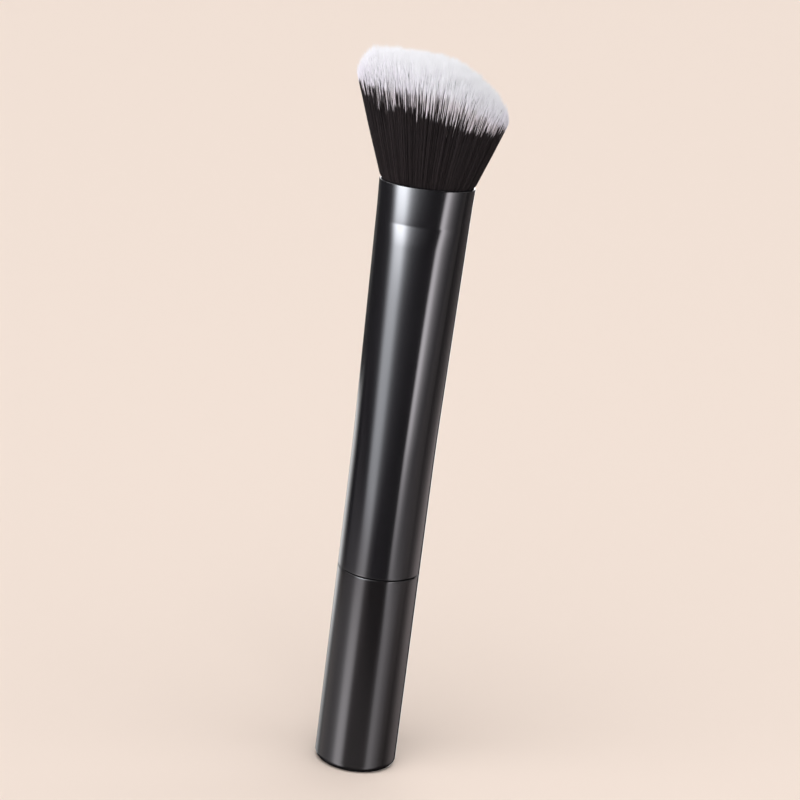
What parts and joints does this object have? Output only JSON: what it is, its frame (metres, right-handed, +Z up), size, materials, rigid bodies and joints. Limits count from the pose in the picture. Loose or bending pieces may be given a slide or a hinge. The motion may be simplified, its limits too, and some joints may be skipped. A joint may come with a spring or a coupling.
{
  "type": "angled blush brush",
  "caption": "Slanted blush brush: white-tipped black tuft in a pressed oval ferrule tube of black lacquered metal, on a weighted gloss black base.",
  "frame": {"origin": "centre of the flat foot that the base stands on", "axes": "+Z up the handle's axis towards the tuft, +X towards the low side of the slanted head, -Y out of the pressed face seen from the front"},
  "size_m": [0.0315, 0.0196, 0.1547],
  "materials": {
    "black_lacquer": "gloss black lacquer on thin aluminium",
    "gloss_moulding": "high gloss black moulding",
    "black_moulding": "matt black moulding",
    "natural_moulding": "uncoloured moulding",
    "turned_steel": "turned steel",
    "cast_resin": "cast amber resin",
    "tuft_fibre": "fine synthetic filaments, black with white tips"
  },
  "bodies": {
    "root": {"base_shell": "gloss_moulding", "base_weight": "turned_steel", "joint_plug": "black_moulding", "ferrule_tube": "black_lacquer", "handle_core": "natural_moulding", "tuft_cup": "black_moulding", "resin_plug": "cast_resin", "bristle_tuft": "tuft_fibre"}
  },
  "joints": []
}
